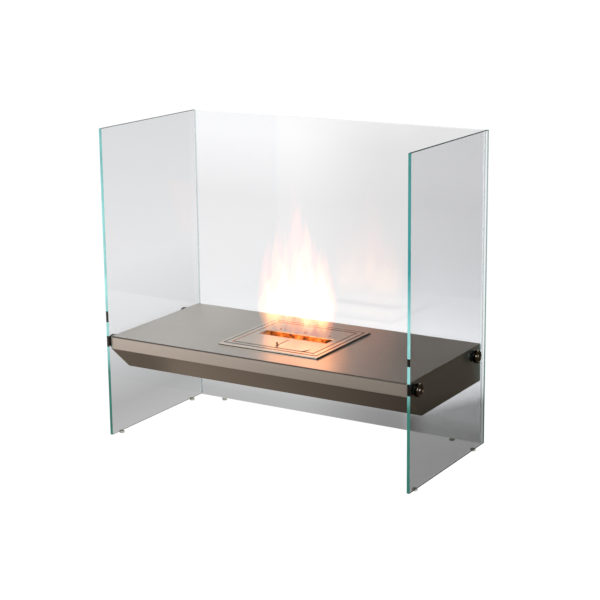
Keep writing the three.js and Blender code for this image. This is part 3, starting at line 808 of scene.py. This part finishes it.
class FIREPLACE_OT_bolts(Operator):
    """Models the four bolts and finishes what they clamp"""

    bl_idname = "fireplace.bolts"
    bl_label = "Bolts"

    def profile(self, settings):
        """Heights run outwards, from the end of the shank to the top of the pip in the dish."""
        low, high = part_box("bolt_right_front")
        head, shank = (high.y - low.y) / 2, settings.shank / 2
        face, seat, chamfer = high.x, high.x - settings.head_height, 0.8 * MM
        rim, pip = head - settings.edge - 1 * MM, settings.pip / 2
        floor = face - settings.dish
        slope, drop = 0.4 * MM, 0.6 * MM  # of the step from the rim into the dish
        steps = 6
        pairs = [(shank - chamfer, low.x), (shank, low.x + chamfer), (shank, seat), (head, seat)]
        pairs += rounded(head, face - settings.edge, settings.edge)
        pairs += [(rim, face), (rim - slope, face - drop)]
        for i in range(1, steps + 1):
            share = i / steps
            pairs.append((rim + (pip - rim) * share, floor + 0.6 * (1 - share) * settings.dish))
        for i in range(1, steps + 1):
            angle = math.pi / 2 * i / (steps + 0.5)  # the half step leaves a small round end to fill
            pairs.append((pip * math.cos(angle), floor + settings.dish * math.sin(angle)))
        return pairs

    def execute(self, context):
        profile = self.profile(context.scene.fireplace_bolts)
        model = turned("bolt", profile)
        keys = [f"{side}_{end}" for side in SIDES for end in ENDS]
        chrome = dark_chrome(context.scene.fireplace_bolts.pip)
        quarter = math.pi / 2
        for key, piece in zip(keys, copies(model, [f"bolt_{key}_turned" for key in keys])):
            centre = middle("bolt_" + key)
            side = -1 if key.startswith("left") else 1
            turn = Matrix.Rotation(side * quarter, 4, "Y")
            piece.data.transform(Matrix.Translation((0, centre.y, centre.z)) @ turn)
            paint(piece, chrome)
            settle(piece, "bolt_" + key)
        nylon = plain("black_nylon", (0.03, 0.03, 0.03), (0.012, 0.012, 0.012), 0.45, 400, 0.1 * MM)
        plated = plain("plated_steel", (0.62, 0.60, 0.56), (0.42, 0.40, 0.38), 0.4, 500, metallic=1.0)
        for key in keys:
            for part in ("bolt_washer_", "bolt_sleeve_", "tray_spacer_"):
                paint(frame["nodes"][part + key], nylon)
            paint(frame["nodes"]["tray_nut_" + key], plated)
        return {"FINISHED"}


class FIREPLACE_OT_burner(Operator):
    """Finishes the burner: its frame, tank and fibre"""

    bl_idname = "fireplace.burner"
    bl_label = "Burner"

    def execute(self, context):
        steel = context.scene.fireplace_steel
        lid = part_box("burner_lid")
        # Painted shade: dark lines round the lid's gap and the rim's step, wider than the gaps, for the shade in
        # them.
        rim = (lid, 17 * MM, 2.2 * MM)
        gap = (lid, 1.0 * MM, 2.2 * MM)
        satin = brushed(
            "burner_steel",
            steel.burner,
            "X",
            0.40,
            warmth=(0.62, 0.54, 0.46),
            joints=(rim, gap),
            lit_joint=gap,
            shaded=True,
        )
        for node in ("burner_frame", "burner_tank"):
            paint(with_soft_edges(node, node + "_welded", steel.edge), satin)
        for end in ENDS:
            for side in SIDES:
                paint(frame["nodes"][f"lid_rest_{end}_{side}"], satin)
        tape = plain("black_gasket", (0.03, 0.028, 0.026), (0.01, 0.01, 0.01), 0.9, 900, 0.3 * MM)
        paint(frame["nodes"]["burner_gasket"], tape)
        wool = plain("mineral_fibre", (0.85, 0.80, 0.70), (0.60, 0.54, 0.44), 0.95, 320, 1.2 * MM)
        paint(frame["nodes"]["fibre_block"], wool)
        return {"FINISHED"}


class FIREPLACE_OT_lid(Operator):
    """Finishes the lid with its baffle, rivets and rails"""

    bl_idname = "fireplace.lid"
    bl_label = "Lid"

    def execute(self, context):
        steel = context.scene.fireplace_steel
        # Painted shade: a dark line round the lid's edge, for the shade in the gap beside it.
        edge = (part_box("burner_lid"), 0.0, 1.7 * MM)
        satin = brushed("lid_steel", steel.burner, "X", 0.42, warmth=(0.72, 0.64, 0.56), joints=(edge,))
        paint(with_soft_edges("burner_lid", "burner_lid_plate", steel.edge), satin)
        for side in SIDES:
            rail = with_soft_edges("shutter_rail_" + side, f"shutter_rail_{side}_folded", steel.edge)
            paint(rail, satin)
        hot = heated_steel()
        for node in ("flame_baffle", "baffle_rib"):
            paint(with_soft_edges(node, node + "_heated", steel.edge), hot)
        stained = brushed("rivet_steel", (0.20, 0.12, 0.07), "X", 0.4)
        for number in (1, 2, 3):
            paint(frame["nodes"][f"baffle_rivet_{number}"], stained)
        return {"FINISHED"}


class FIREPLACE_OT_shutter(Operator):
    """Finishes the sliding shutter and its pin"""

    bl_idname = "fireplace.shutter"
    bl_label = "Shutter"

    def execute(self, context):
        steel = context.scene.fireplace_steel
        satin = brushed("shutter_steel", steel.burner, "X", 0.32, warmth=(0.45, 0.30, 0.20))
        paint(with_soft_edges("shutter_plate", "shutter_plate_cut", steel.edge), satin)
        pin = plain("shutter_pin", (0.13, 0.10, 0.08), (0.05, 0.035, 0.025), 0.25, 300, metallic=1.0)
        paint(frame["nodes"]["shutter_pin"], pin)
        return {"FINISHED"}


class FIREPLACE_OT_flame(Operator):
    """Models the flame that stands in the lid's slot"""

    bl_idname = "fireplace.flame"
    bl_label = "Flame"

    # name, count, strength, height share, width, depth, lift above the lid, girth at the foot
    LAYERS = (
        ("veil", 26, 3.9, 1.0, 0.054, 0.040, 0.0, 0.34),
        ("body", 20, 7.6, 0.84, 0.042, 0.028, 0.003, 0.20),
        ("core", 9, 15.0, 0.66, 0.042, 0.026, 0.018, 0.06),
        ("wisp", 5, 1.6, 1.30, 0.024, 0.020, 0.10, 0.10),
    )

    def gas(self, name, tint, strength):
        f = finish("flame_" + name)
        glow = f.node("ShaderNodeEmission", inputs={"Color": (*tint, 1), "Strength": strength})
        f.node("ShaderNodeOutputMaterial", inputs={"Volume": glow})
        return f.owner

    def tongue(self, name, foot, width, depth, height, lean, sway, root):
        """One tongue: a closed body that swells over the slot and runs out to a bent tip.

        root is its girth at the foot as a share of the girth at the belly."""
        steps, sides = 24, 20
        belly, taper, tip = 0.45, 2.2, 0.02

        def girth(t):
            swell = root + (1 - root) * math.sin(math.pi * min(t / belly, 1.0) / 2)
            return swell * (1 - t**taper) + tip

        def spine(t):
            bend = lean * t * t + sway * math.sin(3.2 * math.pi * t) * t
            return Vector((bend, 0.3 * sway * math.sin(4.1 * math.pi * t) * t, height * t))

        bpy.ops.object.select_all(action="DESELECT")
        bpy.ops.mesh.primitive_circle_add(vertices=sides, radius=1.0, fill_type="NGON", location=foot)
        piece = bpy.context.object
        piece.name = name
        bpy.ops.transform.resize(value=(width / 2 * girth(0), depth / 2 * girth(0), 1))
        bpy.ops.object.transform_apply(location=True, rotation=True, scale=True)
        bpy.ops.object.mode_set(mode="EDIT")
        bpy.ops.mesh.select_all(action="SELECT")
        for i in range(1, steps + 1):
            before, now = (i - 1) / steps, i / steps
            step = spine(now) - spine(before)
            bpy.ops.mesh.extrude_region_move(TRANSFORM_OT_translate={"value": step})
            grow = girth(now) / girth(before)
            bpy.ops.transform.resize(value=(grow, grow, 1), center_override=Vector(foot) + spine(now))
        bpy.ops.mesh.select_all(action="SELECT")
        bpy.ops.mesh.normals_make_consistent(inside=False)
        bpy.ops.object.mode_set(mode="OBJECT")
        smooth(piece, 180)
        return piece

    def execute(self, context):
        settings = context.scene.fireplace_flame
        veil, body, core = settings.veil, settings.body, settings.core
        tints = {"veil": veil, "body": body, "core": core, "wisp": veil}
        reach, row = 100 * MM, 16 * MM  # from the slot's middle to its ends, and behind the origin
        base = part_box("burner_lid")[1].z + 0.5 * MM
        draw = random.Random(23)
        for name, count, strength, share, width, depth, lift, root in self.LAYERS:
            gas = self.gas(name, tints[name], strength * settings.brightness)
            for i in range(count):
                place = (i + 0.5) / count
                x = reach * (2 * place - 1) * (0.5 if name == "wisp" else 0.96)
                hump = 0.68 + 0.32 * math.sin(math.pi * place)
                hump *= draw.uniform(0.58, 1.06)
                thick = draw.uniform(0.65, 1.35)
                piece = self.tongue(
                    f"flame_{name}_{i + 1}",
                    (x, row + draw.uniform(-0.008, 0.008), base + lift * draw.uniform(0.6, 1.3)),
                    width * thick,
                    depth * thick,
                    settings.height * share * hump - lift,
                    draw.uniform(-0.016, 0.022),
                    draw.uniform(-0.012, 0.012),
                    root,
                )
                paint(piece, gas)
                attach(piece, "lid")
        return {"FINISHED"}


# ---- Stage ----


def light(name, place, aim, colour, power, width, height=None):
    """A lamp with a square or oblong face that lights the object and isn't seen itself."""
    data = bpy.data.lights.new(name, "AREA")
    data.color = colour
    data.energy = power
    data.size = width
    if height:
        data.shape = "RECTANGLE"
        data.size_y = height
    lamp = bpy.data.objects.new(name, data)
    bpy.context.scene.collection.objects.link(lamp)
    lamp.location = place
    lamp.rotation_euler = (Vector(aim) - Vector(place)).to_track_quat("-Z", "Y").to_euler()
    lamp.visible_camera = False


class FIREPLACE_OT_stage(Operator):
    """Lays the floor and sets the light and the camera"""

    bl_idname = "fireplace.stage"
    bl_label = "Stage"

    BACKDROP = 1.02  # brightness of floor and background, just past white

    def card(self, name, material, low, high):
        """An upright or level sheet between two corners, one of whose sizes is zero."""
        low, high = Vector(low), Vector(high)
        size = high - low
        bpy.ops.object.select_all(action="DESELECT")
        bpy.ops.mesh.primitive_plane_add(size=1)
        sheet = bpy.context.object
        sheet.name = name
        if size.z:
            bpy.ops.transform.rotate(value=math.pi / 2, orient_axis="X", center_override=(0, 0, 0))
        bpy.ops.object.transform_apply(location=False, rotation=True, scale=True)
        sheet.data.transform(Matrix.Translation((low + high) / 2) @ Matrix.Diagonal((*size, 1)))
        paint(sheet, material)
        return sheet

    def floor(self, size):
        """A floor that is white to the eye. The steel mirrors it pale in front on the left, else dark."""
        f = finish("floor")
        place = f.place()
        x, y = f.axis(place, "X"), f.axis(place, "Y")
        pale = f.between(x, 0.15, -1.15) * f.between(y, -0.35, -1.1)
        tone = f.mix(pale, (0.070, 0.056, 0.040), (1.42, 1.22, 1.10))
        under = f.between(abs(x + 0.2), 0.9, 0.3) * f.between(abs(y), 0.6, 0.2)
        tone = f.mix(under * f.between(x, 0.60, -0.75), tone, (0.48, 0.38, 0.28))
        mirrored = f.node("ShaderNodeEmission", inputs={"Color": tone, "Strength": 1.0})
        seen = f.node("ShaderNodeEmission", inputs={"Color": (1, 1, 1, 1), "Strength": self.BACKDROP})
        camera = f.node("ShaderNodeLightPath", output="Is Camera Ray")
        corner = Vector((size / 2, size / 2, 0))
        self.card("floor", f.surface(f.blend(camera, mirrored, seen)), -corner, corner)

    def softbox(self):
        """The pale wall behind on the left that the left of the tray mirrors and the right doesn't."""
        f = finish("softbox")
        fade = f.between(f.axis(f.place(), "X"), -0.35, -1.5)
        glow = f.node("ShaderNodeEmission", inputs={"Color": (1.0, 0.99, 0.96, 1), "Strength": 1.27 * fade})
        sheet = self.card("softbox", f.surface(glow), (-3.2, 1.5, 0.12), (-0.3, 1.5, 1.7))
        sheet.visible_camera = False

    def world(self):
        """A backdrop that is white to the eye. The steel mirrors a dim studio with light on the left."""
        world = bpy.data.worlds.new("studio")
        bpy.context.scene.world = world
        f = Finish(world)
        direction = f.node("ShaderNodeTexCoord", output="Generated")
        window = Vector((-0.5, -0.85, 0.30)).normalized()
        settings = {"operation": "DOT_PRODUCT"}
        towards = f.node("ShaderNodeVectorMath", settings, {0: direction, 1: window}, output="Value")
        tone = 0.10 + 1.3 * towards.at_least(0.0) ** 9
        studio = f.node("ShaderNodeBackground", inputs={"Color": (1.0, 0.93, 0.86, 1), "Strength": tone})
        white = f.node("ShaderNodeBackground", inputs={"Color": (1, 1, 1, 1), "Strength": self.BACKDROP})
        camera = f.node("ShaderNodeLightPath", output="Is Camera Ray")
        f.node("ShaderNodeOutputWorld", inputs={"Surface": f.blend(camera, studio, white)})

    def lamps(self):
        """Two studio lamps, a glint for the right bolts, and the fire's own light on the steel."""
        light("key", (-2.2, -2.6, 3.2), (0, 0, 0.3), (1, 0.99, 0.97), 60, 2.4)
        light("rim", (1.6, 2.6, 2.4), (0, 0, 0.3), (0.96, 0.98, 1), 30, 1.6)
        light("glint", (3.6, -1.7, 1.0), (0.46, 0, 0.26), (1, 1, 1), 55, 0.7)
        light("fire_glow", (0, 0.016, 0.335), (0, -1, 0.335), (1, 0.22, 0.02), 0.035, 0.2, 0.1)
        light("side_glow", (0.115, 0.016, 0.335), (1.115, -0.784, 0.285), (1, 0.30, 0.06), 0.01, 0.06, 0.1)
        light("haze", (-0.145, 0.60, 0.46), (0.05, 0, 0.30), (1, 0.20, 0.02), 0.045, 0.17, 0.18)
        light("slot_glow", (0, 0.004, 0.262), (0, 0.04, 0.268), (1, 0.47, 0.16), 0.05, 0.18, 0.012)

    def camera(self, stage):
        level, roll = math.cos(stage.elevation), stage.roll
        sideways, backwards = math.sin(stage.azimuth) * level, -math.cos(stage.azimuth) * level
        back = Vector((sideways, backwards, math.sin(stage.elevation)))
        right = (-back).cross(Vector((0, 0, 1))).normalized()
        up = back.cross(right)
        rolled = right * math.cos(roll) + up * math.sin(roll)
        camera = bpy.data.objects.new("camera", bpy.data.cameras.new("camera"))
        bpy.context.scene.collection.objects.link(camera)
        camera.matrix_world = Matrix.Translation(stage.camera_place) @ Matrix(
            (rolled, back.cross(rolled), back)
        ).transposed().to_4x4()
        camera.data.lens = stage.lens
        camera.data.shift_y = stage.shift
        camera.data.clip_start, camera.data.clip_end = 0.1, 60
        bpy.context.scene.camera = camera

    def execute(self, context):
        stage = context.scene.fireplace_stage
        context.scene.view_settings.view_transform = "Standard"
        self.floor(stage.floor_size)
        self.softbox()
        self.world()
        self.camera(stage)
        self.lamps()
        return {"FINISHED"}


class FIREPLACE_PT_panel(Panel):
    """Lists the fireplace's pieces and their settings"""

    bl_idname = "FIREPLACE_PT_panel"
    bl_label = "Ethanol Fireplace"
    bl_space_type = "VIEW_3D"
    bl_region_type = "UI"
    bl_category = "Fireplace"

    def draw(self, context):
        for operator in OPERATORS:
            self.layout.operator(operator.bl_idname)
        for name in SETTINGS:
            box = self.layout.box()
            settings = getattr(context.scene, name)
            for key in settings.bl_rna.properties.keys():
                if key not in ("rna_type", "name"):
                    box.prop(settings, key)


OPERATORS = (
    FIREPLACE_OT_glass,
    FIREPLACE_OT_feet,
    FIREPLACE_OT_tray,
    FIREPLACE_OT_bolts,
    FIREPLACE_OT_burner,
    FIREPLACE_OT_lid,
    FIREPLACE_OT_shutter,
    FIREPLACE_OT_flame,
    FIREPLACE_OT_stage,
)
SETTINGS = {
    "fireplace_glass": GlassSettings,
    "fireplace_steel": SteelSettings,
    "fireplace_bolts": BoltSettings,
    "fireplace_flame": FlameSettings,
    "fireplace_stage": StageSettings,
}


def register():
    for group in SETTINGS.values():
        bpy.utils.register_class(group)
    for name, group in SETTINGS.items():
        setattr(bpy.types.Scene, name, PointerProperty(type=group))
    for kind in (*OPERATORS, FIREPLACE_PT_panel):
        bpy.utils.register_class(kind)


def unregister():
    for kind in (FIREPLACE_PT_panel, *reversed(OPERATORS)):
        bpy.utils.unregister_class(kind)
    for name, group in SETTINGS.items():
        delattr(bpy.types.Scene, name)
        bpy.utils.unregister_class(group)


def main():
    register()
    bpy.ops.fireplace.glass()
    bpy.ops.fireplace.feet()
    bpy.ops.fireplace.tray()
    bpy.ops.fireplace.bolts()
    bpy.ops.fireplace.burner()
    bpy.ops.fireplace.lid()
    bpy.ops.fireplace.shutter()
    bpy.ops.fireplace.flame()
    bpy.ops.fireplace.stage()


if __name__ == "__main__":
    main()
